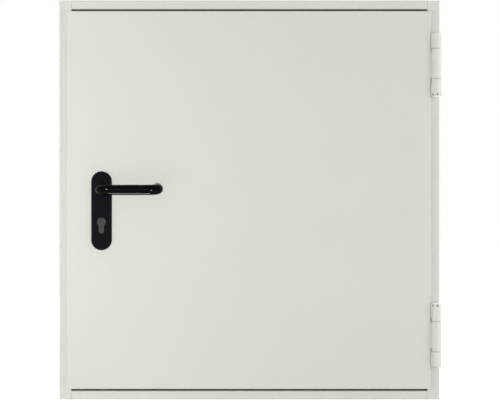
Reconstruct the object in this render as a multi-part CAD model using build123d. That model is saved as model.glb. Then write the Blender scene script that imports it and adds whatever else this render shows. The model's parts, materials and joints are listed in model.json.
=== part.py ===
from build123d import *
import math
import os

# Fire access hatch: a spring-hinged steel leaf with a black lever handle in a folded steel frame.
# All sizes are in millimetres. X runs to the right, Y into the wall and Z up; the wall's face is y = 0.
# Heights below are measured from the frame's bottom edge, and every piece is moved down at the end
# so that the origin lies on the sill's wall lip.

# Frame
FRAME_WIDTH = 837.2
FRAME_HEIGHT = 878.0
JAMB_FACE = 27.2            # visible width of each upright
RAIL_FACE = 19.2            # visible height of the header and the sill
FRAME_PROUD = 15.0          # the frame's face stands this far off the wall
REBATE_DEPTH = 42.0         # from the frame's face back to the stop
STOP_WIDTH = 18.0
STOP_DEPTH = 13.0
WALL_LIP = 12.0
REAR_LIP = 14.0
FRAME_SHEET = 1.5
FRAME_BEND = 0.5            # inside radius of the folds
ORIGIN_HEIGHT = 7.5         # from the frame's bottom edge up to the origin

# Seals on the stop
SEAL_WIDTH = 8.0
SEAL_INSET = 3.0            # from the stop's free edge
SEAL_AIR = 0.3              # left between the seal and the closed leaf
SEAL_ROUND = 2.0

# Wall anchors, two on each upright
ANCHOR_SHEET = 2.0
ANCHOR_HEIGHT = 80.0
ANCHOR_START = 6.0          # depth behind the wall's face where the strap begins
ANCHOR_END = 78.0
ANCHOR_HOLE_DEPTH = 60.0
ANCHOR_HOLE_RADIUS = 5.5
ANCHOR_HOLE_SPACING = 50.0
ANCHOR_OFFSET = 200.0       # above and below the middle of the frame

# Leaf
LEAF_PROUD = 10.0           # the leaf's face stands this far in front of the frame's
LEAF_BACK_GAP = 5.0         # between the leaf's back and the stop
RAIL_GAP = 5.2              # above and below the leaf
LOCK_GAP = 7.4              # beside the leaf's body on the lock side
HINGE_GAP = 5.0
LOCK_OVERLAP = 8.1          # the leaf's flange covers this much of the lock upright
HINGE_OVERLAP = 6.3
SKIN = 1.0
SKIN_BEND = 0.3
RIM_ROUND = 0.8             # of the leaf's front edge along its top and bottom
HEM = 3.0                   # thickness of the doubled flange
STRIP_WIDTH = 7.0           # swelling fire strip let into all four edges
STRIP_THICKNESS = 2.0
STRIP_SUNK = 0.2
STRIP_BACK = 3.0            # from the strip to the leaf's back
STRIP_END = 15.0            # bare length at the corners

# Hinges
HINGE_INSET = 7.8           # from the frame's outer edge to the pin's axis
HINGE_PROUD = 12.0          # from the frame's face to the pin's axis
HINGE_FROM_EDGE = 143.1     # from the frame's top or bottom edge to the middle of each barrel
BARREL_RADIUS = 10.0
OUTER_KNUCKLE = 33.3
LEAF_KNUCKLE = 67.2
INNER_KNUCKLE = 26.4
COLLAR_HEIGHT = 13.5
PIN_RADIUS = 5.0
RUNNING_FIT = 0.05
PIN_SEAT_FIT = 0.03
BARREL_CAP = 3.0            # thickness of the closed ends
OUTER_ROUND = 1.0
COLLAR_ROUND = 2.6
TENSION_HOLES = 6
TENSION_HOLE_RADIUS = 2.0
TENSION_HOLE_DEPTH = 3.5
TENSION_HOLE_HEIGHT = 5.8   # above the collar's free end
TENSION_HOLE_TURN = 5.0     # degrees from the front to the first hole
RING_HEIGHT = 1.0
RING_SUNK = 0.6             # the bearing ring is this much smaller than the barrel
RING_FIT = 0.1
PEG_HOLE_RADIUS = 1.2
PEG_HOLE_DEPTH = 0.8
PEG_HOLE_ANGLES = (-47.0, 56.0)     # round the barrel from the side that faces the viewer
TAB_THICKNESS = 4.0
TAB_HEIGHT = 58.0
TAB_DROP = 2.6              # from the knuckle's middle towards the collar
TAB_LENGTH = 60.0           # reach of the hinge tab inside the leaf
NOTCH_HEIGHT = 70.4
NOTCH_DEPTH = 0.6
WEB_THICKNESS = 4.0
WEB_SLOT_AIR = 0.5
JAMB_PLATE = 3.0
JAMB_PLATE_WIDTH = 17.0
WING_AIR = 0.5              # between the wing beside the barrel and the leaf's flange
WING_DROP = 8.0             # the lower wing starts this far past the joint
COLLAR_AIR = 0.4            # between the wing and the turning collar

# Security bolts on the hinge edge
BOLT_RADIUS = 6.0
BOLT_REACH = 10.0
BOLT_CHAMFER = 1.5
BOLT_FLANGE_RADIUS = 10.0
BOLT_FLANGE = 2.0
BOLT_TAIL = 12.0
BOLT_DEPTH = 1.0            # behind the wall's face
BOLT_OFFSET = 139.0         # above and below the middle of the frame
BOLT_HOLE_AIR = 5.0
BOLT_SWING = 4.0            # extra slot length towards the front

# Lock
SPINDLE_HEIGHT = 461.0
BACKSET = 60.0              # from the leaf's lock edge to the spindle
LOCK_CENTRES = 70.0         # from the spindle down to the key cylinder
FOREND_HEIGHT = 235.0
FOREND_WIDTH = 22.0
FOREND_THICKNESS = 3.0
FOREND_ROUND = 4.0
CASE_HEIGHT = 165.0
CASE_DEPTH = 85.0
CASE_THICKNESS = 15.0
CASE_WALL = 1.5
CASE_ABOVE = 45.0           # from the spindle to the case's top
LATCH_RISE = 18.0           # from the spindle up to the latch
LATCH_HEIGHT = 32.0
LATCH_THICKNESS = 11.0
LATCH_LENGTH = 42.0
LATCH_BEVEL = 9.0
DEADBOLT_DROP = 42.0        # from the spindle down to the dead bolt
DEADBOLT_HEIGHT = 34.0
DEADBOLT_THICKNESS = 9.0
DEADBOLT_LENGTH = 48.0
LOCK_SLOT_AIR = 0.4
KEEP_AIR = 4.0              # round the latch and bolt holes in the upright
KEEP_DEPTH = 12.0
KEEP_SHEET = 1.0
KEEP_MARGIN = 5.0
CYLINDER_RADIUS = 8.5
CYLINDER_SLOT = 10.0
CYLINDER_HEIGHT = 33.0
CYLINDER_AIR = 0.3
CYLINDER_CAP = 0.8          # the blank cylinder's faces lie on the plates
CYLINDER_LIP = 0.9          # and reach this far past its profile
BLANK_RING_RADIUS = 4.0
BLANK_RING_WIDTH = 0.6
BLANK_RING_DEPTH = 0.4

# Handle plates, one on each side
PLATE_WIDTH = 45.0
PLATE_HEIGHT = 173.0
PLATE_THICKNESS = 9.0
PLATE_BEVEL = 3.2
PLATE_BEVEL_DEPTH = 2.2
PLATE_ABOVE = 41.0          # from the spindle to the plate's top end
HUB_RING_RADIUS = 12.3
HUB_RING_HEIGHT = 1.5
HUB_RING_ROUND = 0.6

# Lever handles
NECK_RADIUS = 10.0
NECK_DEPTH = 8.0            # of the neck inside the plate
LEVER_REACH = 61.0          # from the leaf's face to the front of the grip
LEVER_LENGTH = 138.0        # from the spindle to the tip
LEVER_TUBE = 11.2           # radius of the round lever at its bends
LEVER_BEND = 17.0           # centre-line radius of the bends
HUB_AIR = 1.5               # between the lever and the ring on the plate
END_AIR = 8.0               # between the lever's end and the leaf
END_RISE = 5.0              # the returned end rises towards the leaf
END_LEAN = 4.0              # and leans this far back towards the spindle
END_ROUND = 5.0
SPINDLE_SIZE = 9.0
SPINDLE_SOCKET = 24.0       # depth of the square socket in each lever
SPINDLE_HOLE_RADIUS = 12.0

# Positions that follow from the sizes above
FACE_Y = -FRAME_PROUD
HINGE_AXIS_X = FRAME_WIDTH / 2 - HINGE_INSET
HINGE_AXIS_Y = FACE_Y - HINGE_PROUD
STOP_Y = FACE_Y + REBATE_DEPTH
REAR_Y = STOP_Y + STOP_DEPTH
CLEAR_X = FRAME_WIDTH / 2 - JAMB_FACE
LEAF_FRONT = FACE_Y - LEAF_PROUD
LEAF_BACK = STOP_Y - LEAF_BACK_GAP
LEAF_MIDDLE = (LEAF_FRONT + LEAF_BACK) / 2
LEAF_LEFT = -CLEAR_X + LOCK_GAP
LEAF_RIGHT = CLEAR_X - HINGE_GAP
FLANGE_LEFT = -CLEAR_X - LOCK_OVERLAP
FLANGE_RIGHT = CLEAR_X + HINGE_OVERLAP
LEAF_BOTTOM = RAIL_FACE + RAIL_GAP
LEAF_TOP = FRAME_HEIGHT - RAIL_FACE - RAIL_GAP
SPINDLE_X = LEAF_LEFT + BACKSET
CYLINDER_Z = SPINDLE_HEIGHT - LOCK_CENTRES
LATCH_Z = SPINDLE_HEIGHT + LATCH_RISE
DEADBOLT_Z = SPINDLE_HEIGHT - DEADBOLT_DROP
CASE_TOP = SPINDLE_HEIGHT + CASE_ABOVE
CASE_X = LEAF_LEFT + FOREND_THICKNESS
STRIP_Y = (LEAF_BACK - STRIP_BACK - STRIP_WIDTH, LEAF_BACK - STRIP_BACK)
TAB_Y = (LEAF_FRONT + SKIN, LEAF_FRONT + SKIN + TAB_THICKNESS)
HINGE_LENGTH = OUTER_KNUCKLE + LEAF_KNUCKLE + INNER_KNUCKLE + COLLAR_HEIGHT
HINGE_TOP = FRAME_HEIGHT - HINGE_FROM_EDGE + HINGE_LENGTH / 2
UPPER_JOINT = HINGE_TOP - OUTER_KNUCKLE
LOWER_JOINT = UPPER_JOINT - LEAF_KNUCKLE
COLLAR_TOP = LOWER_JOINT - INNER_KNUCKLE
HINGE_BOTTOM = COLLAR_TOP - COLLAR_HEIGHT
TAB_CENTRE = (UPPER_JOINT + LOWER_JOINT) / 2 - TAB_DROP
MID_HEIGHT = Plane.XY.offset(FRAME_HEIGHT / 2)
CUT = 1.0                   # how far cutting shapes reach past a surface


def block(x, y, z):
    """A box between two limits on each axis."""
    limits = [sorted(pair) for pair in (x, y, z)]
    centre = [sum(pair) / 2 for pair in limits]
    return Pos(*centre) * Box(*[high - low for low, high in limits])


def post(radius, x, y, z):
    """An upright round bar between two heights."""
    return Pos(x, y, sum(z) / 2) * Cylinder(radius, abs(z[1] - z[0]))


def rod_x(radius, x, y, z):
    """A round bar along X."""
    return Pos(sum(x) / 2, y, z) * Rot(0, 90, 0) * Cylinder(radius, abs(x[1] - x[0]))


def rod_y(radius, x, y, z):
    """A round bar along Y."""
    return Pos(x, sum(y) / 2, z) * Rot(90, 0, 0) * Cylinder(radius, abs(y[1] - y[0]))


def folded(points, sheet, bend):
    """The section of a folded sheet: the points give one side of it, and the sheet lies to their left."""
    steps = [(b[0] - a[0], b[1] - a[1]) for a, b in zip(points, points[1:])]
    normals = [(-dy / math.hypot(dx, dy), dx / math.hypot(dx, dy)) for dx, dy in steps]
    other_side, radii, other_radii = [], [], []
    for i, (x, y) in enumerate(points):
        before, after = normals[max(i - 1, 0)], normals[min(i, len(normals) - 1)]
        spread = 1 + before[0] * after[0] + before[1] * after[1]
        shift = [sheet * (a + b) / spread for a, b in zip(before, after)]
        other_side.append((x + shift[0], y + shift[1]))
        turn = before[0] * after[1] - before[1] * after[0]
        radii.append(0 if turn == 0 else bend + sheet if turn > 0 else bend)
        other_radii.append(0 if turn == 0 else bend if turn > 0 else bend + sheet)
    outline = points + other_side[::-1]
    return make_face(FilletPolyline(*outline, radius=radii + other_radii[::-1], close=True))


def to_hinge_side(piece):
    """The same piece mirrored from the left half to the right half."""
    return mirror(piece, about=Plane.YZ)


def to_top(piece):
    """The same piece mirrored about the middle height of the frame."""
    return mirror(piece, about=MID_HEIGHT)


# Frame

def frame_bar(face, length):
    """A folded bar standing on z = 0, with x measured inwards from its outer edge."""
    stop = face + STOP_WIDTH
    line = [(WALL_LIP, 0), (0, 0), (0, FACE_Y), (face, FACE_Y), (face, STOP_Y), (stop, STOP_Y),
            (stop, REAR_Y), (stop - REAR_LIP, REAR_Y)]
    return extrude(folded(line, FRAME_SHEET, FRAME_BEND), length, dir=(0, 0, 1))


def plain_jamb():
    """The left upright, its stop cut short where the sill and the header pass."""
    jamb = frame_bar(JAMB_FACE, FRAME_HEIGHT)
    stop_end = block((JAMB_FACE, JAMB_FACE + STOP_WIDTH + CUT), (STOP_Y - FRAME_BEND - CUT, REAR_Y + CUT),
                     (-CUT, RAIL_FACE + STOP_WIDTH))
    jamb -= stop_end + to_top(stop_end)
    return Pos(-FRAME_WIDTH / 2, 0, 0) * jamb


def keep_hole(centre, height, thickness, margin):
    """A block through the lock upright's rebate where the latch or the dead bolt enters."""
    half = thickness / 2 + margin
    return block((-CLEAR_X - FRAME_SHEET - CUT, -CLEAR_X + CUT), (LEAF_MIDDLE - half, LEAF_MIDDLE + half),
                 (centre - height / 2 - margin, centre + height / 2 + margin))


def lock_jamb():
    jamb = plain_jamb()
    jamb -= keep_hole(LATCH_Z, LATCH_HEIGHT, LATCH_THICKNESS, KEEP_AIR)
    jamb -= keep_hole(DEADBOLT_Z, DEADBOLT_HEIGHT, DEADBOLT_THICKNESS, KEEP_AIR)
    return jamb


def hinge_jamb():
    """The right upright, with slots for the hinge webs and for the security bolts."""
    jamb = to_hinge_side(plain_jamb())
    half = WEB_THICKNESS / 2 + WEB_SLOT_AIR
    for low, high in ((UPPER_JOINT, HINGE_TOP), (COLLAR_TOP, LOWER_JOINT)):
        slot = block((HINGE_AXIS_X - half, HINGE_AXIS_X + half), (FACE_Y - CUT, FACE_Y + FRAME_SHEET + CUT),
                     (low - WEB_SLOT_AIR, high + WEB_SLOT_AIR))
        jamb -= slot + to_top(slot)
    reach = BOLT_RADIUS + BOLT_HOLE_AIR
    slot = block((CLEAR_X - CUT, CLEAR_X + FRAME_SHEET + CUT),
                 (BOLT_DEPTH - reach - BOLT_SWING, BOLT_DEPTH + reach),
                 (FRAME_HEIGHT / 2 + BOLT_OFFSET - reach, FRAME_HEIGHT / 2 + BOLT_OFFSET + reach))
    slot = fillet(slot.edges().filter_by(Axis.X), BOLT_RADIUS)
    return jamb - (slot + to_top(slot))


def sill():
    """The bottom rail, butted between the uprights."""
    return Pos(CLEAR_X, 0, 0) * Rot(0, -90, 0) * frame_bar(RAIL_FACE, 2 * CLEAR_X)


def seal_bar(length):
    """A rubber seal standing on z = 0 with its back on the stop, rounded towards the leaf."""
    height = LEAF_BACK_GAP - SEAL_AIR
    bar = block((0, SEAL_WIDTH), (STOP_Y - height, STOP_Y), (0, length))
    return fillet(bar.edges().filter_by(Axis.Z).group_by(Axis.Y)[0], SEAL_ROUND)


SEAL_EDGE = STOP_WIDTH - SEAL_INSET - SEAL_WIDTH     # from the rebate to the seal


def side_seal():
    """The lock side's seal; it runs past the ends of the top and bottom seals."""
    low = RAIL_FACE + SEAL_EDGE
    return Pos(-CLEAR_X + SEAL_EDGE, 0, low) * seal_bar(FRAME_HEIGHT - 2 * low)


def bottom_seal():
    half = CLEAR_X - SEAL_EDGE - SEAL_WIDTH
    return Pos(half, 0, RAIL_FACE + SEAL_EDGE) * Rot(0, -90, 0) * seal_bar(2 * half)


def wall_anchor():
    """A flat strap behind the lock upright's rebate with two bolt holes, on the upper side."""
    x = -CLEAR_X - FRAME_SHEET
    z = FRAME_HEIGHT / 2 + ANCHOR_OFFSET
    height = (z - ANCHOR_HEIGHT / 2, z + ANCHOR_HEIGHT / 2)
    strap = block((x - ANCHOR_SHEET, x), (ANCHOR_START, ANCHOR_END), height)
    for side in (-1, 1):
        strap -= rod_x(ANCHOR_HOLE_RADIUS, (x - ANCHOR_SHEET - CUT, x + CUT), ANCHOR_HOLE_DEPTH,
                       z + side * ANCHOR_HOLE_SPACING / 2)
    return strap


def strike_box():
    """A pressed box behind the latch and bolt holes, open towards the leaf."""
    inner = -CLEAR_X - FRAME_SHEET
    outer = inner - KEEP_DEPTH
    y_half = LATCH_THICKNESS / 2 + KEEP_AIR + KEEP_SHEET
    low = DEADBOLT_Z - DEADBOLT_HEIGHT / 2 - KEEP_AIR - KEEP_MARGIN
    high = LATCH_Z + LATCH_HEIGHT / 2 + KEEP_AIR + KEEP_MARGIN
    box = block((outer, inner), (LEAF_MIDDLE - y_half, LEAF_MIDDLE + y_half), (low, high))
    hollow = block((outer + KEEP_SHEET, inner + CUT),
                   (LEAF_MIDDLE - y_half + KEEP_SHEET, LEAF_MIDDLE + y_half - KEEP_SHEET),
                   (low + KEEP_SHEET, high - KEEP_SHEET))
    return box - hollow


# Hinges: the upper one is modelled, and the lower one is its mirror image

def barrel(low, high, hole_radius):
    """One knuckle of the barrel."""
    return (post(BARREL_RADIUS, HINGE_AXIS_X, HINGE_AXIS_Y, (low, high))
            - post(hole_radius, HINGE_AXIS_X, HINGE_AXIS_Y, (low - CUT, high + CUT)))


def hinge_frame_part():
    """Outer and inner knuckle, their webs, the plate inside the upright and the wings beside the barrel."""
    seat = PIN_RADIUS + PIN_SEAT_FIT
    outer = post(BARREL_RADIUS, HINGE_AXIS_X, HINGE_AXIS_Y, (UPPER_JOINT, HINGE_TOP))
    outer = fillet(outer.edges().group_by(Axis.Z)[-1], OUTER_ROUND)
    outer -= post(seat, HINGE_AXIS_X, HINGE_AXIS_Y, (UPPER_JOINT - CUT, HINGE_TOP - BARREL_CAP))
    part = outer + barrel(COLLAR_TOP, LOWER_JOINT, seat)
    back = FACE_Y + FRAME_SHEET + JAMB_PLATE
    web_start = HINGE_AXIS_Y + (BARREL_RADIUS + seat) / 2
    for low, high in ((UPPER_JOINT, HINGE_TOP - OUTER_ROUND), (COLLAR_TOP, LOWER_JOINT)):
        part += block((HINGE_AXIS_X - WEB_THICKNESS / 2, HINGE_AXIS_X + WEB_THICKNESS / 2), (web_start, back),
                      (low, high))
    wall = (BARREL_RADIUS + PIN_RADIUS) / 2
    room = post(wall, HINGE_AXIS_X, HINGE_AXIS_Y, (HINGE_BOTTOM, HINGE_TOP))
    room += post(BARREL_RADIUS + COLLAR_AIR, HINGE_AXIS_X, HINGE_AXIS_Y, (HINGE_BOTTOM, COLLAR_TOP))
    upper = (UPPER_JOINT, HINGE_TOP - OUTER_ROUND)
    lower = (HINGE_BOTTOM + COLLAR_ROUND, LOWER_JOINT - WING_DROP)
    for height in (upper, lower):
        part += block((FLANGE_RIGHT + WING_AIR, HINGE_AXIS_X - wall + SKIN), TAB_Y, height) - room
    right = HINGE_AXIS_X + WEB_THICKNESS / 2
    return part + block((right - JAMB_PLATE_WIDTH, right), (back - JAMB_PLATE, back), (COLLAR_TOP, HINGE_TOP))


def hinge_pin():
    return post(PIN_RADIUS, HINGE_AXIS_X, HINGE_AXIS_Y, (HINGE_BOTTOM + BARREL_CAP, HINGE_TOP - BARREL_CAP))


def tension_collar():
    """The turning collar that winds the spring, with holes for a tommy bar and a rounded closed end."""
    collar = post(BARREL_RADIUS, HINGE_AXIS_X, HINGE_AXIS_Y, (HINGE_BOTTOM, COLLAR_TOP))
    collar = fillet(collar.edges().group_by(Axis.Z)[0], COLLAR_ROUND)
    bore = (HINGE_BOTTOM + BARREL_CAP, COLLAR_TOP + CUT)
    collar -= post(PIN_RADIUS + PIN_SEAT_FIT, HINGE_AXIS_X, HINGE_AXIS_Y, bore)
    for i in range(TENSION_HOLES):
        turned = Rot(0, 0, TENSION_HOLE_TURN + i * 360 / TENSION_HOLES)
        hole = Rot(90, 0, 0) * Cylinder(TENSION_HOLE_RADIUS, 2 * TENSION_HOLE_DEPTH)
        collar -= (Pos(HINGE_AXIS_X, HINGE_AXIS_Y, HINGE_BOTTOM + TENSION_HOLE_HEIGHT) * turned
                   * Pos(0, -BARREL_RADIUS, 0) * hole)
    return collar


def bearing_rings():
    """The two rings between the knuckles, seated on the frame's knuckles."""
    low = (LOWER_JOINT, LOWER_JOINT + RING_HEIGHT)
    high = (UPPER_JOINT - RING_HEIGHT, UPPER_JOINT)
    rings = [post(BARREL_RADIUS - RING_SUNK, HINGE_AXIS_X, HINGE_AXIS_Y, z) for z in (low, high)]
    bore = post(PIN_RADIUS + PIN_SEAT_FIT, HINGE_AXIS_X, HINGE_AXIS_Y, (low[0] - CUT, high[1] + CUT))
    return (rings[0] + rings[1]) - bore


def hinge_leaf_part():
    """The middle knuckle and the tab that runs behind the leaf's front skin."""
    seat = RING_HEIGHT + RING_FIT
    part = barrel(LOWER_JOINT + seat, UPPER_JOINT - seat, PIN_RADIUS + RUNNING_FIT)
    for angle in PEG_HOLE_ANGLES:
        peg = Pos(0, -BARREL_RADIUS, 0) * Rot(90, 0, 0) * Cylinder(PEG_HOLE_RADIUS, 2 * PEG_HOLE_DEPTH)
        part -= Pos(HINGE_AXIS_X, HINGE_AXIS_Y, TAB_CENTRE) * Rot(0, 0, angle) * peg
    wall = (BARREL_RADIUS + PIN_RADIUS) / 2
    tab = block((LEAF_RIGHT - TAB_LENGTH, HINGE_AXIS_X - wall + SKIN), TAB_Y,
                (TAB_CENTRE - TAB_HEIGHT / 2, TAB_CENTRE + TAB_HEIGHT / 2))
    return part + (tab - post(wall, HINGE_AXIS_X, HINGE_AXIS_Y, (LOWER_JOINT, UPPER_JOINT)))


# Leaf

def cylinder_profile(y, margin=0.0):
    """The key cylinder's profile as a bar along Y."""
    half = CYLINDER_SLOT / 2 + margin
    foot = CYLINDER_Z + CYLINDER_RADIUS - CYLINDER_HEIGHT + CYLINDER_SLOT / 2
    return (rod_y(CYLINDER_RADIUS + margin, SPINDLE_X, y, CYLINDER_Z) + rod_y(half, SPINDLE_X, y, foot)
            + block((SPINDLE_X - half, SPINDLE_X + half), y, (foot, CYLINDER_Z)))


def skin_holes(y):
    """Holes for the spindle and the key cylinder through a skin."""
    return rod_y(SPINDLE_HOLE_RADIUS, SPINDLE_X, y, SPINDLE_HEIGHT) + cylinder_profile(y, SKIN)


def front_skin():
    """The front face with its doubled side flanges and the four edges of the leaf."""
    back = LEAF_BACK - SKIN
    hem = LEAF_FRONT + HEM
    line = [(LEAF_LEFT, back), (LEAF_LEFT, hem), (FLANGE_LEFT, hem), (FLANGE_LEFT, LEAF_FRONT),
            (FLANGE_RIGHT, LEAF_FRONT), (FLANGE_RIGHT, hem), (LEAF_RIGHT, hem), (LEAF_RIGHT, back)]
    skin = extrude(folded(line, SKIN, SKIN_BEND), LEAF_TOP - LEAF_BOTTOM, dir=(0, 0, 1))
    skin = Pos(0, 0, LEAF_BOTTOM) * skin
    edge = block((LEAF_LEFT, LEAF_RIGHT), (LEAF_FRONT, back), (LEAF_BOTTOM, LEAF_BOTTOM + SKIN))
    skin += edge + to_top(edge)
    rims = skin.edges().filter_by(Axis.X).filter_by(lambda e: abs(e.center().Y - LEAF_FRONT) < RIM_ROUND)
    skin = fillet(rims, RIM_ROUND)
    notch = block((FLANGE_RIGHT - NOTCH_DEPTH, FLANGE_RIGHT + CUT), (LEAF_FRONT - CUT, hem + CUT),
                  (TAB_CENTRE - NOTCH_HEIGHT / 2, TAB_CENTRE + NOTCH_HEIGHT / 2))
    passage = block((LEAF_RIGHT - SKIN - CUT, FLANGE_RIGHT + CUT), (TAB_Y[0], TAB_Y[1]),
                    (TAB_CENTRE - NOTCH_HEIGHT / 2, TAB_CENTRE + NOTCH_HEIGHT / 2))
    skin -= notch + to_top(notch)
    skin -= passage + to_top(passage)
    for x in (LEAF_LEFT, LEAF_RIGHT):
        height = (LEAF_BOTTOM + STRIP_END, LEAF_TOP - STRIP_END)
        skin -= block((x - SKIN - CUT, x + SKIN + CUT), STRIP_Y, height)
    width = (LEAF_LEFT + STRIP_END, LEAF_RIGHT - STRIP_END)
    strip = block(width, STRIP_Y, (LEAF_BOTTOM - CUT, LEAF_BOTTOM + SKIN + CUT))
    skin -= strip + to_top(strip)
    skin -= forend_shape(LEAF_LEFT - CUT)
    bolt = rod_x(BOLT_RADIUS, (LEAF_RIGHT - SKIN - CUT, LEAF_RIGHT + CUT), BOLT_DEPTH,
                 FRAME_HEIGHT / 2 + BOLT_OFFSET)
    skin -= bolt + to_top(bolt)
    return skin - skin_holes((LEAF_FRONT - CUT, LEAF_FRONT + SKIN + CUT))


def back_skin():
    skin = block((LEAF_LEFT, LEAF_RIGHT), (LEAF_BACK - SKIN, LEAF_BACK), (LEAF_BOTTOM, LEAF_TOP))
    return skin - skin_holes((LEAF_BACK - SKIN - CUT, LEAF_BACK + CUT))


def fire_strips():
    """The four swelling strips: lock edge, hinge edge, bottom and top."""
    outer, inner = STRIP_SUNK, STRIP_SUNK + STRIP_THICKNESS
    upright = (LEAF_BOTTOM + STRIP_END, LEAF_TOP - STRIP_END)
    level = (LEAF_LEFT + STRIP_END, LEAF_RIGHT - STRIP_END)
    bottom = block(level, STRIP_Y, (LEAF_BOTTOM + outer, LEAF_BOTTOM + inner))
    return {"lock": block((LEAF_LEFT + outer, LEAF_LEFT + inner), STRIP_Y, upright),
            "hinge": block((LEAF_RIGHT - inner, LEAF_RIGHT - outer), STRIP_Y, upright),
            "bottom": bottom, "top": to_top(bottom)}


def lock_case_block(margin=0.0):
    return block((CASE_X, CASE_X + CASE_DEPTH),
                 (LEAF_MIDDLE - CASE_THICKNESS / 2 - margin, LEAF_MIDDLE + CASE_THICKNESS / 2 + margin),
                 (CASE_TOP - CASE_HEIGHT - margin, CASE_TOP + margin))


def leaf_core():
    """The mineral board that fills the leaf, with pockets for the fittings."""
    core = block((LEAF_LEFT + SKIN, LEAF_RIGHT - SKIN), (LEAF_FRONT + SKIN, LEAF_BACK - SKIN),
                 (LEAF_BOTTOM + SKIN, LEAF_TOP - SKIN))
    core -= lock_case_block() + forend_shape(LEAF_LEFT)
    for strip in fire_strips().values():
        core -= strip
    tab = block((LEAF_RIGHT - TAB_LENGTH, LEAF_RIGHT), TAB_Y,
                (TAB_CENTRE - TAB_HEIGHT / 2, TAB_CENTRE + TAB_HEIGHT / 2))
    bolt = security_bolt()
    core -= tab + to_top(tab)
    core -= bolt + to_top(bolt)
    return core - skin_holes((LEAF_FRONT, LEAF_BACK))


def security_bolt():
    """The upper fixed bolt on the hinge edge, with its flange behind the edge."""
    z = FRAME_HEIGHT / 2 + BOLT_OFFSET
    inside = LEAF_RIGHT - SKIN
    bolt = rod_x(BOLT_RADIUS, (inside - BOLT_TAIL, LEAF_RIGHT + BOLT_REACH), BOLT_DEPTH, z)
    bolt = chamfer(bolt.edges().group_by(Axis.X)[-1], BOLT_CHAMFER)
    return bolt + rod_x(BOLT_FLANGE_RADIUS, (inside - BOLT_FLANGE, inside), BOLT_DEPTH, z)


# Lock

def forend_shape(start):
    """The forend's outline on the lock edge, reaching inwards from the given x."""
    z = CASE_TOP - CASE_HEIGHT / 2
    plate = block((start, CASE_X), (LEAF_MIDDLE - FOREND_WIDTH / 2, LEAF_MIDDLE + FOREND_WIDTH / 2),
                  (z - FOREND_HEIGHT / 2, z + FOREND_HEIGHT / 2))
    return fillet(plate.edges().filter_by(Axis.X), FOREND_ROUND)


def bolt_block(centre, height, thickness, length, margin=0.0):
    """The latch's or the dead bolt's outline, flush with the forend."""
    half = thickness / 2 + margin
    return block((LEAF_LEFT, LEAF_LEFT + length), (LEAF_MIDDLE - half, LEAF_MIDDLE + half),
                 (centre - height / 2 - margin, centre + height / 2 + margin))


def lock_forend():
    plate = forend_shape(LEAF_LEFT)
    plate -= bolt_block(LATCH_Z, LATCH_HEIGHT, LATCH_THICKNESS, LATCH_LENGTH, LOCK_SLOT_AIR)
    return plate - bolt_block(DEADBOLT_Z, DEADBOLT_HEIGHT, DEADBOLT_THICKNESS, DEADBOLT_LENGTH, LOCK_SLOT_AIR)


def lock_case():
    """The hollow case behind the forend, open towards it."""
    case = lock_case_block()
    half = CASE_THICKNESS / 2 - CASE_WALL
    case -= block((CASE_X - CUT, CASE_X + CASE_DEPTH - CASE_WALL), (LEAF_MIDDLE - half, LEAF_MIDDLE + half),
                  (CASE_TOP - CASE_HEIGHT + CASE_WALL, CASE_TOP - CASE_WALL))
    through = (LEAF_MIDDLE - CASE_THICKNESS, LEAF_MIDDLE + CASE_THICKNESS)
    return case - rod_y(SPINDLE_HOLE_RADIUS, SPINDLE_X, through, SPINDLE_HEIGHT) - cylinder_profile(through)


def latch_bolt():
    """The sprung latch, drawn back level with the forend, with its bevelled nose."""
    latch = bolt_block(LATCH_Z, LATCH_HEIGHT, LATCH_THICKNESS, LATCH_LENGTH)
    nose = latch.edges().filter_by(Axis.Z).group_by(Axis.X)[0].sort_by(Axis.Y)[-1]
    return chamfer(nose, LATCH_BEVEL)


def dead_bolt():
    return bolt_block(DEADBOLT_Z, DEADBOLT_HEIGHT, DEADBOLT_THICKNESS, DEADBOLT_LENGTH)


def cylinder_insert():
    """The blank profile cylinder through the lock, with a shallow ring on both of its faces."""
    faces = (LEAF_FRONT - PLATE_THICKNESS, LEAF_BACK + PLATE_THICKNESS)
    insert = cylinder_profile(faces)
    for face, outwards in zip(faces, (-1, 1)):
        outer = face + outwards * CYLINDER_CAP
        insert += cylinder_profile((face, outer), CYLINDER_LIP)
        cut = (outer - outwards * BLANK_RING_DEPTH, outer + outwards * CUT)
        insert -= (rod_y(BLANK_RING_RADIUS, SPINDLE_X, cut, CYLINDER_Z)
                   - rod_y(BLANK_RING_RADIUS - BLANK_RING_WIDTH, SPINDLE_X, cut, CYLINDER_Z))
    return insert


# Handle

def to_back(piece):
    """The same piece mirrored from the leaf's front to its back."""
    return mirror(piece, about=Plane.XZ.offset(-LEAF_MIDDLE))


def handle_plate():
    """The front plate: round ends, bevelled edge, a low ring round the lever's neck."""
    z = SPINDLE_HEIGHT + PLATE_ABOVE - PLATE_HEIGHT / 2
    face = LEAF_FRONT - PLATE_THICKNESS
    front = Plane((SPINDLE_X, LEAF_FRONT, z), x_dir=(0, 0, 1), z_dir=(0, -1, 0))
    plate = extrude(front * SlotOverall(PLATE_HEIGHT, PLATE_WIDTH), PLATE_THICKNESS)
    plate = chamfer(plate.faces().sort_by(Axis.Y)[0].edges(), PLATE_BEVEL_DEPTH, PLATE_BEVEL)
    ring = rod_y(HUB_RING_RADIUS, SPINDLE_X, (face - HUB_RING_HEIGHT, face), SPINDLE_HEIGHT)
    plate += fillet(ring.edges().group_by(Axis.Y)[0], HUB_RING_ROUND)
    through = (face - HUB_RING_HEIGHT - CUT, LEAF_FRONT + CUT)
    plate -= cylinder_profile(through, CYLINDER_AIR)
    return plate - rod_y(NECK_RADIUS + RUNNING_FIT, SPINDLE_X, through, SPINDLE_HEIGHT)


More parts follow.
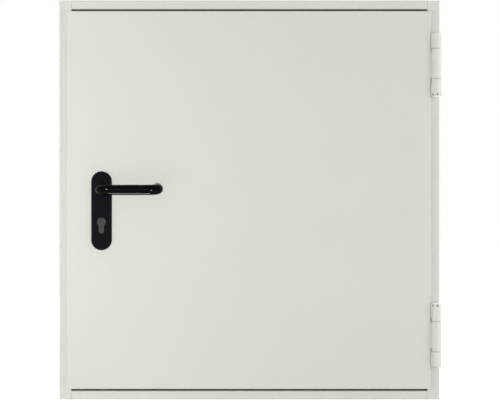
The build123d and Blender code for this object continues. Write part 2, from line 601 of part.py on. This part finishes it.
def front_lever():
    """The round lever: a neck in the plate, two swept bends and an end returned to the leaf."""
    face = LEAF_FRONT - PLATE_THICKNESS
    start = face - HUB_RING_HEIGHT - HUB_AIR
    grip_y = LEAF_FRONT - LEVER_REACH + LEVER_TUBE
    end_x = SPINDLE_X + LEVER_LENGTH - LEVER_TUBE
    path = FilletPolyline((SPINDLE_X, start, SPINDLE_HEIGHT), (SPINDLE_X, grip_y, SPINDLE_HEIGHT),
                          (end_x, grip_y, SPINDLE_HEIGHT),
                          (end_x - END_LEAN, LEAF_FRONT - END_AIR, SPINDLE_HEIGHT + END_RISE),
                          radius=LEVER_BEND)
    tube = sweep(Plane(origin=path @ 0, z_dir=path % 0) * Circle(LEVER_TUBE), path=path)
    end = tube.faces().filter_by(GeomType.PLANE).sort_by(Axis.X)[-1]
    tube = fillet(end.edges(), END_ROUND)
    neck = rod_y(NECK_RADIUS, SPINDLE_X, (start, face + NECK_DEPTH), SPINDLE_HEIGHT)
    return tube + neck - spindle()


def spindle():
    """The square bar that joins both levers through the lock."""
    half = SPINDLE_SIZE / 2
    inside = PLATE_THICKNESS - NECK_DEPTH
    reach = inside - SPINDLE_SOCKET
    return block((SPINDLE_X - half, SPINDLE_X + half), (LEAF_FRONT + reach, LEAF_BACK - reach),
                 (SPINDLE_HEIGHT - half, SPINDLE_HEIGHT + half))


# All pieces by name

def pieces():
    strips = fire_strips()
    bolt, anchor, seal = security_bolt(), wall_anchor(), bottom_seal()
    named = {
        "lock_jamb": lock_jamb(), "hinge_jamb": hinge_jamb(), "sill": sill(), "header": to_top(sill()),
        "seal_lock_side": side_seal(), "seal_hinge_side": to_hinge_side(side_seal()),
        "seal_bottom": seal, "seal_top": to_top(seal),
        "anchor_lock_upper": anchor, "anchor_lock_lower": to_top(anchor),
        "anchor_hinge_upper": to_hinge_side(anchor), "anchor_hinge_lower": to_hinge_side(to_top(anchor)),
        "strike_box": strike_box(),
        "leaf_front_skin": front_skin(), "leaf_back_skin": back_skin(), "leaf_core": leaf_core(),
        "fire_strip_lock": strips["lock"], "fire_strip_hinge": strips["hinge"],
        "fire_strip_bottom": strips["bottom"], "fire_strip_top": strips["top"],
        "security_bolt_upper": bolt, "security_bolt_lower": to_top(bolt),
        "lock_forend": lock_forend(), "lock_case": lock_case(), "latch_bolt": latch_bolt(),
        "dead_bolt": dead_bolt(), "cylinder_insert": cylinder_insert(),
        "front_plate": handle_plate(), "rear_plate": to_back(handle_plate()),
        "spindle": spindle(), "front_lever": front_lever(), "rear_lever": to_back(front_lever()),
    }
    hinge = {"frame_part": hinge_frame_part(), "pin": hinge_pin(), "tension_collar": tension_collar(),
             "leaf_part": hinge_leaf_part(), "rings": bearing_rings()}
    for name, piece in hinge.items():
        named["upper_hinge_" + name] = piece
        named["lower_hinge_" + name] = to_top(piece)
    return named


os.makedirs("parts", exist_ok=True)
for name, piece in pieces().items():
    export_step(Pos(0, 0, -ORIGIN_HEIGHT) * piece, f"parts/{name}.step")
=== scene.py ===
# %% [markdown]
# # A fire access hatch in satin grey-white paint
#
# This lesson dresses a steel wall hatch whose folded frame, leaf, hinges and handle come from a CAD
# model. The CAD pieces keep their places and shapes, so the work here is the camera, the light, the
# finishes, and the few small parts that a CAD model leaves out. Every cell builds on the ones before
# it, so run them in order.

import json
import math

import bmesh
import bpy
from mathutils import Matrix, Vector


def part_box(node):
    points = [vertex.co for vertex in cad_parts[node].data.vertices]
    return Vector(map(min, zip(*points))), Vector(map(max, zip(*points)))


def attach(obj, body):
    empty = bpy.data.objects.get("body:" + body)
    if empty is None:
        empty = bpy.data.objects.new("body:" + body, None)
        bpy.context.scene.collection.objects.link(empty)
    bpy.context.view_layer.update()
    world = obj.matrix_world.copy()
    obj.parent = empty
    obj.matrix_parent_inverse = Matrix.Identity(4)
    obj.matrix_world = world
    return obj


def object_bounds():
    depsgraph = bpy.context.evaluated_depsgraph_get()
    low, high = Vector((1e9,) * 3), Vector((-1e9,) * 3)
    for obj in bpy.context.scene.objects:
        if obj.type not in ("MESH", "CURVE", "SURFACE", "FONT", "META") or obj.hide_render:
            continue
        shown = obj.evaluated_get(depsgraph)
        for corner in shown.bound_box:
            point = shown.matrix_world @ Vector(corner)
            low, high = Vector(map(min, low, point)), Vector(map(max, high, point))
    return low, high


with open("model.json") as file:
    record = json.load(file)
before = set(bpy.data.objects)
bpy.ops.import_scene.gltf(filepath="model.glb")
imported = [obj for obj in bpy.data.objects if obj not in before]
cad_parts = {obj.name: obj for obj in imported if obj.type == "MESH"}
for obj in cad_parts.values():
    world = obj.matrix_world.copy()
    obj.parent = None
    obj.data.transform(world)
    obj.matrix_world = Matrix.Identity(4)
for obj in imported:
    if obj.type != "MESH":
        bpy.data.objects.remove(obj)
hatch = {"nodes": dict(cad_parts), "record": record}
cad_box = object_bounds()
print("CAD box:", [round(v, 4) for corner in cad_box for v in corner])

# %% [markdown]
# ## The camera
#
# The photograph looks straight at the hatch. The joint lines on the hinges bow by a third of a pixel,
# and that puts the camera about 3.9 m away: from closer they would bow more. One pixel is 2.2 mm at the
# frame's face, which lies 15 mm in front of the wall, and that sets the lens. An orthographic camera
# would be simpler, but then the joint lines would be straight.

# %% Camera
PIXEL = 0.0022
DISTANCE = 3.9
FRAME_FACE = -0.015
IMAGE_WIDTH = 500
SENSOR_WIDTH = 36.0
CAMERA_X = 0.0014
CAMERA_HEIGHT = 0.4316

camera_data = bpy.data.cameras.new("photo_camera")
camera = bpy.data.objects.new("photo_camera", camera_data)
bpy.context.scene.collection.objects.link(camera)
camera_data.sensor_width = SENSOR_WIDTH
camera_data.lens = camera_data.sensor_width * DISTANCE / (PIXEL * IMAGE_WIDTH)
camera.location = (CAMERA_X, FRAME_FACE - DISTANCE, CAMERA_HEIGHT)
camera.rotation_euler = (math.radians(90), 0, 0)
bpy.context.scene.camera = camera
bpy.context.scene.view_settings.view_transform = "Standard"
print("Lens:", round(camera_data.lens, 1), "mm")

# %% [markdown]
# ## Shader maths as ordinary sums
#
# Blender adds and multiplies numbers in a material with Math nodes. They could be made and wired one by
# one, but a long sum is then hard to read. The small class below wraps a number socket, so a sum such
# as `1 - mask * 0.3` adds those nodes by itself.

# %% Number sockets
class Number:
    """A number socket: sums on it add Math nodes."""

    def __init__(self, socket):
        self.socket = socket

    def maths(self, operation, *terms):
        tree = self.socket.id_data
        node = tree.nodes.new("ShaderNodeMath")
        node.operation = operation
        for place, term in zip(node.inputs, terms):
            if isinstance(term, Number):
                tree.links.new(term.socket, place)
            else:
                place.default_value = term
        return Number(node.outputs[0])

    def __add__(self, other):
        return self.maths("ADD", self, other)

    def __sub__(self, other):
        return self.maths("SUBTRACT", self, other)

    def __rsub__(self, other):
        return self.maths("SUBTRACT", other, self)

    def __mul__(self, other):
        return self.maths("MULTIPLY", self, other)

    def __pow__(self, other):
        return self.maths("POWER", self, other)

    def __lt__(self, other):
        return self.maths("LESS_THAN", self, other)

    def __abs__(self):
        return self.maths("ABSOLUTE", self)

    __radd__ = __add__


print("Number sockets ready")

# %% [markdown]
# ## A finish under construction
#
# Every finish starts from Blender's Principled surface and the object's own coordinates. Each kind of
# node that the finishes need gets one short method, which sets the node's settings first and then its
# inputs. Numbers that are the same all over a surface go straight to the surface's own sockets.

# %% Finishes
MIX_FACTOR, MIX_FIRST, MIX_SECOND = 0, 6, 7
MIX_COLOR_OUT = 2


class Finish:
    """A material under construction, with the object's own coordinates at hand."""

    def __init__(self, name):
        self.material = bpy.data.materials.new(name)
        self.material.use_nodes = True
        self.tree = self.material.node_tree
        self.surface = self.tree.nodes["Principled BSDF"]
        self.output = self.tree.nodes["Material Output"]
        self.place = self.node("TexCoord").outputs["Object"]

    def node(self, kind, settings=None, inputs=None):
        node = self.tree.nodes.new("ShaderNode" + kind)
        for name, value in (settings or {}).items():
            setattr(node, name, value)
        self.fill(node, inputs or {})
        return node

    def fill(self, node, inputs):
        for name, value in inputs.items():
            socket = node.inputs[name]
            if isinstance(value, Number):
                value = value.socket
            if isinstance(value, bpy.types.NodeSocket):
                self.tree.links.new(value, socket)
            else:
                socket.default_value = value

    def noise(self, scale, detail=2.0, roughness=0.5, stretch=(1, 1, 1)):
        """Soft noise from 0 to 1; scale counts its waves in each metre."""
        at = self.node("Mapping", {}, {"Vector": self.place, "Scale": stretch}).outputs["Vector"]
        waves = {"Vector": at, "Scale": scale, "Detail": detail, "Roughness": roughness}
        return Number(self.node("TexNoise", {}, waves).outputs["Fac"])

    def part(self, axis):
        """The X, Y or Z coordinate, in metres."""
        return Number(self.node("SeparateXYZ", {}, {"Vector": self.place}).outputs[axis])

    def mix(self, factor, first, second):
        """A colour between two colours."""
        node = self.node("Mix", {"data_type": "RGBA"})
        self.fill(node, {MIX_FACTOR: factor, MIX_FIRST: first, MIX_SECOND: second})
        return node.outputs[MIX_COLOR_OUT]

    def bump(self, height, distance, normal=None):
        """Relief as high as distance, in metres, on top of an earlier relief if there is one."""
        inputs = {"Height": height, "Distance": distance, "Strength": 1.0}
        if normal is not None:
            inputs["Normal"] = normal
        return self.node("Bump", {}, inputs).outputs["Normal"]

    def shine(self, **inputs):
        """Sets inputs of the surface, with _ for a space in their names."""
        self.fill(self.surface, {name.replace("_", " "): value for name, value in inputs.items()})
        return self.material


def rgb(red, green, blue):
    return (red, green, blue, 1.0)


print("Finishes ready")

# %% [markdown]
# ## Grey-white powder coat
#
# The frame, the leaf and the hinges carry one baked powder coat: an off-white with a green-grey cast
# and a satin gloss. Close up, powder coat has a fine "orange peel", so a bump a few hundredths of a
# millimetre high breaks the reflections. Thin sheet is never quite flat either, which a second, very
# slow wave shows. Both are bumps and not geometry, because they are far too shallow to change an
# outline.

# %% Powder coat
COAT = rgb(0.700, 0.702, 0.650)
COAT_DEEP = rgb(0.672, 0.676, 0.622)
CLOUD_WAVES, PEEL_WAVES, SHEET_WAVES = 7.0, 520.0, 3.2
PEEL_HEIGHT, SHEET_WAVE_HEIGHT = 0.00003, 0.0006
COAT_ROUGHNESS, COAT_CLOUDING = 0.36, 0.10
COAT_SPECULAR = 0.4


def powder_coat(name):
    coat = Finish(name)
    cloud = coat.noise(CLOUD_WAVES, detail=4.0)
    peel = coat.noise(PEEL_WAVES, detail=3.0, roughness=0.6)
    wave = coat.noise(SHEET_WAVES, detail=1.0)
    normal = coat.bump(peel, PEEL_HEIGHT, coat.bump(wave, SHEET_WAVE_HEIGHT))
    coat.shine(Base_Color=coat.mix(cloud, COAT, COAT_DEEP), Roughness=COAT_ROUGHNESS + cloud * COAT_CLOUDING,
               Normal=normal, Specular_IOR_Level=COAT_SPECULAR)
    return coat


frame_coat = powder_coat("powder_coat").material
print("Powder coat made")

# %% [markdown]
# ## The collars' painted pale rims and painted dark holes
#
# In the photograph the rounded end of each tension collar is clearly paler than the rest of the barrel.
# A separate ring could carry that colour, but on the real hinge it is the same piece. So the collars
# get the same coat, with a painted highlight: a pale rim where their height lies close to the middle of
# the hatch, for the light that the rounded ends catch. The holes for the fitter's bar are painted dark
# inside, as painted shade for the shade that falls in them: the surface there lies nearer to the pin.

# %% Collar coat
MIDDLE_HEIGHT = 0.4315
RIM_REACH = 0.2279
HINGE_AXIS_X, HINGE_AXIS_Y = 0.4108, -0.027
HOLE_DEPTH = 0.0096
RIM_HIGHLIGHT_COLOR = rgb(0.93, 0.94, 0.90)
HOLE_SHADE_COLOR = rgb(0.16, 0.16, 0.15)

collar_finish = powder_coat("collar_coat")
# Painted highlight: the rounded ends near the middle height are painted pale for the light they catch.
rim = abs(collar_finish.part("Z") - MIDDLE_HEIGHT) < RIM_REACH
across, away = collar_finish.part("X") - HINGE_AXIS_X, collar_finish.part("Y") - HINGE_AXIS_Y
from_axis = (across ** 2 + away ** 2) ** 0.5
# Painted shade: the bar holes are painted dark inside for the shade that falls in them.
painted_hole_shade = (from_axis < HOLE_DEPTH) * (1 - rim)
plain_coat = collar_finish.surface.inputs["Base Color"].links[0].from_socket
with_rim_highlight = collar_finish.mix(rim, plain_coat, RIM_HIGHLIGHT_COLOR)
collar_coat = collar_finish.shine(Base_Color=collar_finish.mix(painted_hole_shade, with_rim_highlight, HOLE_SHADE_COLOR))
print("Rim reaches", RIM_REACH, "m from the middle")

# %% [markdown]
# ## Black plastics
#
# The handle plate is moulded in black plastic with a fine eroded grain, so it is satin. The lever is
# polished: thin bright lines run along it where it mirrors the lamps. The blank cylinder between them
# is dull grey. One function makes all three, because they differ only in colour, roughness and the
# height of their grain.

# %% Handle finishes
PALE_PATCH = 1.25
ROUGHNESS_SPREAD = 0.25


def moulded(name, color, roughness, grain_height, grain=2600.0, specular=0.5):
    plastic = Finish(name)
    patch = plastic.noise(35.0, detail=3.0)
    fine = plastic.noise(grain, detail=2.0)
    tint = plastic.mix(patch, rgb(*color), rgb(*[c * PALE_PATCH for c in color]))
    return plastic.shine(Base_Color=tint, Roughness=roughness + patch * roughness * ROUGHNESS_SPREAD,
                         Normal=plastic.bump(fine, grain_height), Specular_IOR_Level=specular)


plate_plastic = moulded("plate_plastic", (0.0045, 0.0046, 0.0064), 0.42, 0.00004, specular=0.07)
lever_plastic = moulded("lever_plastic", (0.0014, 0.0014, 0.0019), 0.03, 0.0000001, grain=900.0,
                        specular=0.035)
blank_grey = moulded("blank_grey", (0.050, 0.050, 0.053), 0.5, 0.00002, specular=0.2)
print("Plastics made")

# %% [markdown]
# ## Zinc-plated and brushed steel
#
# Wall anchors and lock parts are zinc-plated: bluish, and slightly cloudy. The forend is brushed along
# its length. A picture of brushed metal could be wrapped round it, but a noise that is stretched along
# the length needs no picture and no unwrapping.

# %% Metals
ZINC = (0.55, 0.56, 0.58)
DULL_CLOUD = 0.72
EVEN = (1, 1, 1)
ALONG_HEIGHT = (1, 1, 0.04)


def zinc(name, color=ZINC, grain_stretch=EVEN):
    metal = Finish(name)
    cloud = metal.noise(90.0, detail=5.0)
    grain = metal.noise(900.0, detail=2.0, stretch=grain_stretch)
    tint = metal.mix(cloud, rgb(*color), rgb(*[c * DULL_CLOUD for c in color]))
    return metal.shine(Base_Color=tint, Metallic=1.0, Roughness=0.30 + cloud * 0.18,
                       Normal=metal.bump(grain, 0.00003))


plated_steel = zinc("plated_steel")
brushed_forend = zinc("brushed_forend", (0.60, 0.60, 0.59), ALONG_HEIGHT)
bearing_metal = zinc("bearing_metal", (0.34, 0.34, 0.33))
print("Metals made")

# %% [markdown]
# ## Rubber, fire strip and mineral board
#
# Seals are soft black rubber, and the moulded finish above suits them too. The fire strips are dark
# grey with fine ribs about 2 mm apart. Modelled ribs would cost thousands of faces that hardly show, so
# a wave bump stands for them. The core is a mineral board, whose fibres come from a noise squeezed
# along the height.

# %% Soft finishes
rubber = moulded("seal_rubber", (0.016, 0.016, 0.017), 0.62, 0.00005, grain=900.0, specular=0.35)

RIB_SCALE = 160.0
RIB_HEIGHT = 0.0002
STRIP_DARK, STRIP_PALE = rgb(0.030, 0.030, 0.033), rgb(0.060, 0.060, 0.064)

strip_finish = Finish("fire_strip")
ribs = strip_finish.node("TexWave", {"bands_direction": "Y", "wave_profile": "SIN"},
                         {"Vector": strip_finish.place, "Scale": RIB_SCALE, "Distortion": 0.0})
speck = strip_finish.noise(700.0, detail=3.0)
fire_strip = strip_finish.shine(Base_Color=strip_finish.mix(speck, STRIP_DARK, STRIP_PALE), Roughness=0.7,
                                Normal=strip_finish.bump(Number(ribs.outputs["Fac"]), RIB_HEIGHT))

FIBRE_HEIGHT = 0.0004
BOARD_DARK, BOARD_PALE = rgb(0.42, 0.40, 0.30), rgb(0.62, 0.60, 0.50)

board_finish = Finish("mineral_board")
fibre = board_finish.noise(400.0, detail=6.0, roughness=0.7, stretch=(1, 1, 6))
mineral_board = board_finish.shine(Base_Color=board_finish.mix(fibre, BOARD_DARK, BOARD_PALE), Roughness=0.95,
                                   Normal=board_finish.bump(fibre, FIBRE_HEIGHT))
print("Soft finishes made")

# %% [markdown]
# ## Give every CAD node its finish
#
# The record names a material slot for every node. One table from slot to finish dresses them all, and
# the few nodes that need more than their slot says have a table of their own, which comes first.

# %% Dress the CAD nodes
SLOT_FINISH = {
    "cream_paint": frame_coat,
    "bare_steel": plated_steel,
    "grey_metal": blank_grey,
    "ring_brass": bearing_metal,
    "seal_rubber": rubber,
    "fire_strip": fire_strip,
    "mineral_board": mineral_board,
    "plate_plastic": plate_plastic,
    "lever_plastic": lever_plastic,
}
NODE_FINISH = {
    "upper_hinge_tension_collar": collar_coat,
    "lower_hinge_tension_collar": collar_coat,
    "lock_forend": brushed_forend,
}


def dress(piece, finish):
    piece.data.materials.clear()
    piece.data.materials.append(finish)


slot_of = {part["node"]: part["material_slot"] for part in hatch["record"]["subparts"]}
for node_name, node in hatch["nodes"].items():
    dress(node, NODE_FINISH.get(node_name, SLOT_FINISH[slot_of[node_name]]))
print("Dressed", len(hatch["nodes"]), "CAD nodes")

# %% [markdown]
# ## One screw head
#
# Two screws pull the rear plate against the leaf, and two more hold the lock's forend. They are raised
# countersunk screws with a six-sided socket. A plain disc would look stamped, so a short cylinder gets
# its rounded rim from a bevel, and a Boolean modifier takes a six-sided prism out of its top, just as a
# punch forms the real socket.

# %% Screw head
HEAD_RADIUS = 0.0038
HEAD_HEIGHT = 0.0022
HEAD_SUNK = 0.0010
HEAD_SIDES = 48
RIM_BEVEL = 0.001
SOCKET_RADIUS = 0.0018
SOCKET_DEPTH = 0.0012
SOCKET_SIDES = 6
SMOOTH_UNDER = math.radians(35)


def round_block(name, sides, radius, height, middle):
    bpy.ops.object.select_all(action="DESELECT")
    bpy.ops.mesh.primitive_cylinder_add(vertices=sides, radius=radius, depth=height, location=(0, 0, middle))
    block = bpy.context.object
    block.name = name
    bpy.ops.object.transform_apply(location=True, rotation=True, scale=True)
    return block


def screw_head():
    """A head at the origin that looks up, with the surface that it sits in at height 0."""
    top = HEAD_HEIGHT - HEAD_SUNK
    socket = round_block("screw_socket", SOCKET_SIDES, SOCKET_RADIUS, 2 * SOCKET_DEPTH, top)
    head = round_block("screw_head", HEAD_SIDES, HEAD_RADIUS, HEAD_HEIGHT, top - HEAD_HEIGHT / 2)
    bpy.ops.object.mode_set(mode="EDIT")
    bpy.ops.mesh.select_mode(type="EDGE")
    bpy.ops.mesh.select_all(action="DESELECT")
    shape = bmesh.from_edit_mesh(head.data)
    for edge in shape.edges:
        edge.select_set(all(point.co.z > top - HEAD_HEIGHT / 4 for point in edge.verts))
    bmesh.update_edit_mesh(head.data)
    bpy.ops.mesh.bevel(offset=RIM_BEVEL, segments=4, profile=0.6)
    bpy.ops.object.mode_set(mode="OBJECT")
    punch = head.modifiers.new("socket", "BOOLEAN")
    punch.operation, punch.solver, punch.object = "DIFFERENCE", "EXACT", socket
    bpy.ops.object.modifier_apply(modifier=punch.name)
    bpy.ops.object.shade_smooth_by_angle(angle=SMOOTH_UNDER)
    bpy.data.objects.remove(socket)
    dress(head, plated_steel)
    return head


screw = screw_head()
print("Screw head faces:", len(screw.data.polygons))

# %% [markdown]
# ## Four screws in their places
#
# The head is made once and copied. Each copy has a mesh of its own, with its place and turn put into
# that mesh, because a finished piece's object stays at the origin. The places are worked out from the
# boxes of the plate and the forend, so the screws sit on them, and they ride with the leaf. The first
# head is a pattern and is removed.

# %% Screws
PLATE_THICKNESS = 0.009
PLATE_SCREW_INSET = 0.013
FOREND_SCREW_INSET = 0.011
FACE_REAR = (math.radians(-90), 0, 0)
FACE_LOCK_SIDE = (0, math.radians(-90), 0)


def place_copy(pattern, name, location, rotation, body):
    bpy.ops.object.select_all(action="DESELECT")
    pattern.select_set(True)
    bpy.context.view_layer.objects.active = pattern
    bpy.ops.object.duplicate(linked=False)
    piece = bpy.context.object
    piece.name = name
    piece.location, piece.rotation_euler = location, rotation
    bpy.ops.object.transform_apply(location=True, rotation=True, scale=True)
    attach(piece, body)
    return piece


plate_low, plate_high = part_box("rear_plate")
plate_x, plate_y = (plate_low[0] + plate_high[0]) / 2, plate_low[1] + PLATE_THICKNESS
forend_low, forend_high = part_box("lock_forend")
forend_x, forend_y = forend_low[0], (forend_low[1] + forend_high[1]) / 2
for end, z in (("upper", plate_high[2] - PLATE_SCREW_INSET), ("lower", plate_low[2] + PLATE_SCREW_INSET)):
    place_copy(screw, "plate_screw_" + end, (plate_x, plate_y, z), FACE_REAR, "leaf")
for end, z in (("upper", forend_high[2] - FOREND_SCREW_INSET), ("lower", forend_low[2] + FOREND_SCREW_INSET)):
    place_copy(screw, "forend_screw_" + end, (forend_x, forend_y, z), FACE_LOCK_SIDE, "leaf")
bpy.data.objects.remove(screw)
print("Rear plate:", [round(v, 4) for v in (*plate_low, *plate_high)])

# %% [markdown]
# ## Floor, backdrop and black card
#
# The hatch was photographed on plain white. A floor could be lit until it turns white, but that much
# light would bleach the paint too. So the floor and the backdrop glow only for the camera, for mirrors
# and for glass, and to every other ray they are plain sheets, which still take the hatch's shadow. A
# black card behind the camera shows in reflections alone. It stands for the dark half of a studio, and
# it keeps the black plastics black.

# %% Stage
FLOOR_LEVEL = cad_box[0][2]
SEEN_DIRECTLY = ("Is Camera Ray", "Is Glossy Ray", "Is Transmission Ray")
UPRIGHT = (math.radians(90), 0, 0)
FLAT = (0, 0, 0)


def seen_directly(tree):
    """1 for a ray that looks at a surface straight, in a mirror or through glass, and 0 for others."""
    ray = tree.nodes.new("ShaderNodeLightPath")
    return sum(Number(ray.outputs[kind]) for kind in SEEN_DIRECTLY)


def white_stage(name, glow, tone):
    """Glows where it is seen directly, and is plain diffuse grey of the given tone elsewhere."""
    stage = Finish(name)
    stage.shine(Base_Color=rgb(tone, tone, tone), Roughness=1.0, Specular_IOR_Level=0.0)
    light = stage.node("Emission", {}, {"Color": rgb(1, 1, 1), "Strength": seen_directly(stage.tree) * glow})
    both = stage.node("AddShader")
    stage.tree.links.new(stage.surface.outputs[0], both.inputs[0])
    stage.tree.links.new(light.outputs[0], both.inputs[1])
    stage.tree.links.new(both.outputs[0], stage.output.inputs["Surface"])
    return stage.material


def stage_sheet(name, size, location, rotation, finish):
    bpy.ops.object.select_all(action="DESELECT")
    bpy.ops.mesh.primitive_plane_add(size=1, location=location, rotation=rotation)
    sheet = bpy.context.object
    sheet.name = name
    sheet.scale = (size[0], size[1], 1)
    dress(sheet, finish)
    return sheet


card_black = Finish("black_card").shine(Base_Color=rgb(0.01, 0.01, 0.01), Roughness=1.0)
card = stage_sheet("black_card", (3.2, 2.6), (-0.3, -4.3, 0.5), UPRIGHT, card_black)
card.visible_camera = card.visible_diffuse = card.visible_shadow = False
stage_sheet("floor", (30, 24), (0, 3, FLOOR_LEVEL), FLAT, white_stage("floor_white", 0.93, 0.6))
stage_sheet("backdrop", (30, 14), (0, 15, 6.9), UPRIGHT, white_stage("backdrop_white", 1.0, 0.0))
print("Floor at", round(FLOOR_LEVEL, 4))

# %% [markdown]
# ## The world
#
# Light from all round fills the shadows, as the pale walls of a studio do. More of it would take the
# shape out of the folded edges, so it stays under a third of full strength. Where a ray looks at the
# world directly, it sees full white, like the backdrop.

# %% World
FILL_STRENGTH = 0.30

world = bpy.data.worlds.new("studio")
bpy.context.scene.world = world
world.use_nodes = True
sky = world.node_tree
fill = sky.nodes["Background"]
fill.inputs["Color"].default_value = rgb(1, 1, 1)
fill.inputs["Strength"].default_value = FILL_STRENGTH
white = sky.nodes.new("ShaderNodeBackground")
white.inputs["Color"].default_value = rgb(1, 1, 1)
choose = sky.nodes.new("ShaderNodeMixShader")
sky.links.new(seen_directly(sky).socket, choose.inputs[0])
sky.links.new(fill.outputs[0], choose.inputs[1])
sky.links.new(white.outputs[0], choose.inputs[2])
sky.links.new(choose.outputs[0], sky.nodes["World Output"].inputs["Surface"])
print("World strength", FILL_STRENGTH)

# %% [markdown]
# ## The lamps
#
# The main lamp stands right behind the camera, so that shadows hide behind what casts them, as they do
# in the photograph. A smaller one at the left makes that side a little brighter, and one at the right
# models the hinges. The lamps at both sides and at the back are for views from there. All are large and
# soft, and none shows in a reflection, so that every mirror image on the lever is placed on purpose in
# the next step.

# %% Softboxes
def lamp(name, location, target, size, power, lights):
    """A soft rectangular lamp that lights surfaces (DIFFUSE) or only shows as a reflection (GLOSSY)."""
    data = bpy.data.lights.new(name, "AREA")
    data.shape = "RECTANGLE"
    data.size, data.size_y = size
    data.energy = power
    lamp_object = bpy.data.objects.new(name, data)
    bpy.context.scene.collection.objects.link(lamp_object)
    lamp_object.location = location
    lamp_object.rotation_euler = (Vector(target) - Vector(location)).to_track_quat("-Z", "Y").to_euler()
    lamp_object.visible_camera = False
    lamp_object.visible_diffuse = lights == "DIFFUSE"
    lamp_object.visible_glossy = lights == "GLOSSY"
    return lamp_object


# Each row: name, place, what it is turned to, width and height, all in metres, and its power in watts.
FRONT_SOFTBOXES = [
    ("front_softbox", (0, -4.4, 0.45), (0, 0, 0.43), (0.7, 0.6), 66),
    ("left_softbox", (-1.15, -1.1, 0.45), (-0.3, 0, 0.43), (0.9, 0.8), 8.0),
    ("right_softbox", (2.4, -1.3, 0.7), (0.3, 0, 0.43), (1.0, 1.4), 19),
]
OTHER_SOFTBOXES = [
    ("hinge_side_softbox", (2.9, 0.03, 0.5), (0.42, 0, 0.43), (0.3, 1.4), 28),
    ("lock_side_softbox", (-2.9, 0.03, 0.5), (-0.42, 0, 0.43), (0.3, 1.4), 24),
    ("rear_softbox", (0.5, 3.9, 1.3), (0, 0.1, 0.43), (1.6, 1.2), 90),
]
front_lamps = [lamp(*row, "DIFFUSE") for row in FRONT_SOFTBOXES]
other_lamps = [lamp(*row, "DIFFUSE") for row in OTHER_SOFTBOXES]
print("Softboxes:", len(front_lamps) + len(other_lamps))

# %% [markdown]
# ## Bright lines on the lever
#
# The polished lever mirrors the lamps of the studio: a thin line runs along its lower side, and a
# bright spot sits at each end. Paint on the lever could imitate them, but painted light would turn with
# the handle. So four small lamps stand where the lever mirrors them to the camera. They show only as
# reflections, and light linking gives them to the two levers alone.

# %% Lamps for the lever
LEVER_LAMPS = [
    ("high_strip", (-0.46, -3.9, 0.95), (-0.3, -0.05, 0.45), (0.30, 0.2), 5),
    ("high_spark", (-0.45, -0.7, 0.61), (-0.307, -0.06, 0.45), (0.10, 0.08), 14),
    ("low_spark", (-0.075, -0.7, 0.344), (-0.21, -0.05, 0.45), (0.10, 0.06), 10),
    ("floor_strip", (-0.28, -0.11, -0.005), (-0.28, -0.11, 1.0), (0.170, 0.03), 4.0),
]


def node_group(name, *node_names):
    group = bpy.data.collections.new(name)
    for node_name in node_names:
        group.objects.link(hatch["nodes"][node_name])
    return group


levers = node_group("handle_pieces", "front_lever", "rear_lever")
for row in LEVER_LAMPS:
    lamp(*row, "GLOSSY").light_linking.receiver_collection = levers
print("Lamps for the lever:", len(LEVER_LAMPS))

# %% [markdown]
# ## No shadow beside the handle
#
# The photograph shows no shadow beside the lever or the plate. Very large lamps could wash it out, but
# they would flatten the joints and the hinges too. Light linking can also leave a piece out of what
# casts a lamp's shadow, and here it does so for the front lamps and the front handle.

# %% Shadow linking
shadeless = node_group("shadeless_pieces", "front_lever", "front_plate")
for member in shadeless.collection_objects:
    member.light_linking.link_state = "EXCLUDE"
for front_lamp in front_lamps:
    front_lamp.light_linking.blocker_collection = shadeless
